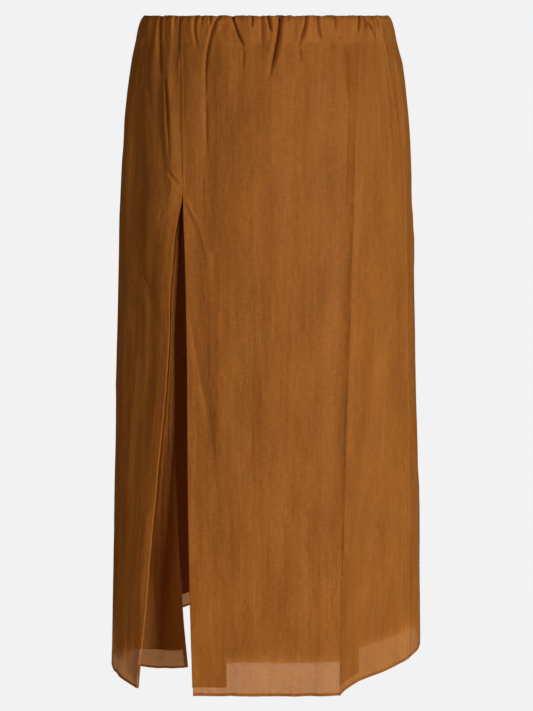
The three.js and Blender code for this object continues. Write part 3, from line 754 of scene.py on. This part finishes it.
def cloth_material(name, colour, dark, pores, glow):
    """Plain-woven cloth with slubs, uneven threads, fine crumples and a soft sheen. pores is the most that
    the gaps between its threads take up, and glow is the share of the light that passes through it."""
    nodes = Nodes(name)
    cloth = nodes.add("ShaderNodeTexCoord").outputs["UV"]
    # uneven threads, slubs and broad shades
    weft = nodes.streaks(cloth, 105, 540, 3.0)
    warp = nodes.streaks(cloth, 540, 85, 3.0)
    slubs = nodes.streaks(cloth, 190, 9, 3.0)
    broad = nodes.streaks(cloth, 26, 8, 4.0)
    threads = nodes.total((weft, 0.5), (warp, 0.5))
    tone = nodes.total((threads, 0.46), (slubs, 0.18), (broad, 0.36))
    ramp = nodes.add("ShaderNodeValToRGB", {"Fac": tone})
    ramp.color_ramp.elements[0].position = 0.38
    ramp.color_ramp.elements[0].color = (*dark, 1)
    ramp.color_ramp.elements[1].position = 0.62
    ramp.color_ramp.elements[1].color = (*colour, 1)
    # threads over and under each other
    split = nodes.add("ShaderNodeSeparateXYZ", {"Vector": cloth})
    warp_wave = nodes.math("SINE", nodes.math("MULTIPLY", split.outputs["X"], 2 * math.pi * THREADS))
    weft_wave = nodes.math("SINE", nodes.math("MULTIPLY", split.outputs["Y"], 2 * math.pi * THREADS))
    weave = nodes.math("MULTIPLY", warp_wave, weft_wave)
    height = nodes.total((weave, 0.05), (threads, 0.6))
    bump = {"Height": height, "Strength": 0.55, "Distance": 0.0006}
    fine = nodes.add("ShaderNodeBump", bump).outputs["Normal"]
    # crumples
    place = nodes.scaled(cloth, 1.35, 0.8)
    crumple = nodes.noise(place, 42.0, 5.0, 0.62)
    long_ones = nodes.streaks(cloth, 75, 5, 3.0)
    small = nodes.noise(place, 190.0, 3.0, 0.6)
    rise = nodes.total((crumple, 1.0), (long_ones, 0.7), (small, 0.22))
    bump = {"Height": rise, "Strength": 0.75, "Distance": 0.003, "Normal": fine}
    crumpled = nodes.add("ShaderNodeBump", bump).outputs["Normal"]
    body = nodes.add(
        "ShaderNodeBsdfPrincipled",
        {
            "Base Color": ramp.outputs["Color"],
            "Roughness": nodes.spread(threads, 0.55, 0.75),
            "Normal": crumpled,
            "IOR": 1.45,
            "Specular IOR Level": 0.14,
            "Sheen Weight": 0.05,
            "Sheen Roughness": 0.35,
            "Sheen Tint": (1.0, 0.6, 0.3, 1),
        },
    ).outputs["BSDF"]
    lit = nodes.add("ShaderNodeBsdfTranslucent", {"Color": GLOW, "Normal": crumpled}).outputs["BSDF"]
    surface = nodes.add("ShaderNodeMixShader", {"Fac": glow, 1: body, 2: lit}).outputs[0]
    if pores:
        gap = nodes.spread(nodes.total((weft, 0.75), (warp, 0.25)), pores, 0.0, 0.32, 0.68)
        clear = nodes.add("ShaderNodeBsdfTransparent", {"Color": (1, 1, 1, 1)}).outputs["BSDF"]
        surface = nodes.add("ShaderNodeMixShader", {"Fac": gap, 1: surface, 2: clear}).outputs[0]
    nodes.add("ShaderNodeOutputMaterial", {"Surface": surface})
    return nodes.material


shell_cloth = cloth_material("shell_cloth_look", SHELL_COLOUR, SHELL_DARK, 0.11, 0.3)
side_cloth = cloth_material("side_cloth_look", SHELL_COLOUR, SHELL_DARK, 0.035, 0.3)
casing_cloth = cloth_material("casing_cloth_look", SHELL_COLOUR, SHELL_DARK, 0, 0.3)
facing_cloth = cloth_material("facing_cloth_look", SHELL_COLOUR, SHELL_DARK, 0, 0.12)
lining_cloth = cloth_material("lining_cloth_look", LINING_COLOUR, LINING_DARK, 0, 0.17)

# The lining's front part starts at the slit seam, and further right where the slit is open
LINING_STARTS = 0.12 * ease(LINING_DROPS, SLIT_TOP, 330)

pieces = {
    "waist_casing": casing(casing_cloth),
    "front_panel": panel("front_panel", 0, 1, 0.75, (0, 1), shell_cloth),
    "right_panel": panel("right_panel", 1, RIGHT_SEAM, 1.0, (1, RIGHT_SEAM), side_cloth),
    "back_panel": panel("back_panel", RIGHT_SEAM, LEFT_SEAM, 1.9, (RIGHT_SEAM, LEFT_SEAM), side_cloth),
    "left_panel": panel("left_panel", LEFT_SEAM, LAST_STATION, 1.0, (LEFT_SEAM, SLIT_EDGE), side_cloth),
    "slit_facing": facing("slit_facing", 0, facing_cloth, True),
    "seam_facing": facing("seam_facing", 1, facing_cloth, False),
    "slit_underlay": underlay(side_cloth),
    "lining_front": lining("lining_front", LINING_STARTS, RIGHT_SEAM, lining_cloth),
    "lining_back": lining("lining_back", RIGHT_SEAM, LINING_LEFT_FROM, lining_cloth),
    "lining_left": lining_left("lining_left", lining_cloth),
}

# The cut of each sheet: its width and length in metres, and its area where it isn't a rectangle
Cut = namedtuple("Cut", "piece width length area")


# The studio, in metres and watts
PALE = (0.888, 0.888, 0.888, 1)
FLOOR_HALF = 30
FLOOR_Z = -1.02
SKIRT_MIDDLE = (0, 0, -0.4)
Lamp = namedtuple("Lamp", "name place size watts colour")
LAMPS = [
    Lamp("key", (1.98, -2.25, -0.5), 1.3, 104, (1.0, 1.0, 1.0)),
    Lamp("fill", (-1.7, -2.4, 0.15), 1.6, 30, (1.0, 0.93, 0.8)),
    Lamp("back", (0, 2.8, 0.7), 1.6, 62, (1.0, 1.0, 1.0)),
    Lamp("low_back", (0.4, 2.25, -2.3), 1.6, 72, (1.0, 1.0, 1.0)),
]
CAMERA_PLACE = (0, -1.65, 0.02)
CAMERA_TILT = 14.72
CAMERA_LENS = 66.39
CAMERA_SENSOR = 36


def stage():
    """A plain pale floor that only the camera sees, so that the light comes from the lamps and the room."""
    nodes = Nodes("backdrop_look")
    shine = nodes.add("ShaderNodeEmission", {"Color": PALE, "Strength": 1.0}).outputs[0]
    nodes.add("ShaderNodeOutputMaterial", {"Surface": shine})
    mesh = bpy.data.meshes.new("floor")
    corners = [(-1, -1), (1, -1), (1, 1), (-1, 1)]
    mesh.from_pydata([(x * FLOOR_HALF, y * FLOOR_HALF, FLOOR_Z) for x, y in corners], [], [(0, 1, 2, 3)])
    mesh.materials.append(nodes.material)
    floor = bpy.data.objects.new("floor", mesh)
    bpy.context.scene.collection.objects.link(floor)
    floor.visible_diffuse = floor.visible_glossy = floor.visible_shadow = floor.visible_transmission = False


def light(lamp):
    data = bpy.data.lights.new(lamp.name, "AREA")
    data.size, data.energy, data.color = lamp.size, lamp.watts, lamp.colour
    placed = bpy.data.objects.new(lamp.name, data)
    bpy.context.scene.collection.objects.link(placed)
    placed.location = lamp.place
    direction = placed.location - Vector(SKIRT_MIDDLE)
    placed.rotation_euler = direction.to_track_quat("Z", "Y").to_euler()


def studio():
    """The room's faint light, with a pale backdrop behind the skirt, and the lamps."""
    world = bpy.data.worlds.new("studio")
    world.use_nodes = True
    tree = world.node_tree
    tree.nodes.clear()
    sky, room = tree.nodes.new("ShaderNodeBackground"), tree.nodes.new("ShaderNodeBackground")
    sky.inputs["Color"].default_value = PALE
    room.inputs["Color"].default_value = (0.95, 0.97, 1.0, 1)
    room.inputs["Strength"].default_value = 0.03
    path, mix = tree.nodes.new("ShaderNodeLightPath"), tree.nodes.new("ShaderNodeMixShader")
    output = tree.nodes.new("ShaderNodeOutputWorld")
    tree.links.new(path.outputs["Is Camera Ray"], mix.inputs["Fac"])
    tree.links.new(room.outputs[0], mix.inputs[1])
    tree.links.new(sky.outputs[0], mix.inputs[2])
    tree.links.new(mix.outputs[0], output.inputs["Surface"])
    bpy.context.scene.world = world
    for lamp in LAMPS:
        light(lamp)


def camera():
    data = bpy.data.cameras.new("camera")
    data.lens, data.sensor_width, data.clip_end = CAMERA_LENS, CAMERA_SENSOR, 100
    view = bpy.data.objects.new("camera", data)
    bpy.context.scene.collection.objects.link(view)
    view.location = CAMERA_PLACE
    view.rotation_euler = (math.radians(90 - CAMERA_TILT), 0, 0)
    bpy.context.scene.camera = view


stage()
studio()
camera()
bpy.context.scene.view_settings.view_transform = "Standard"
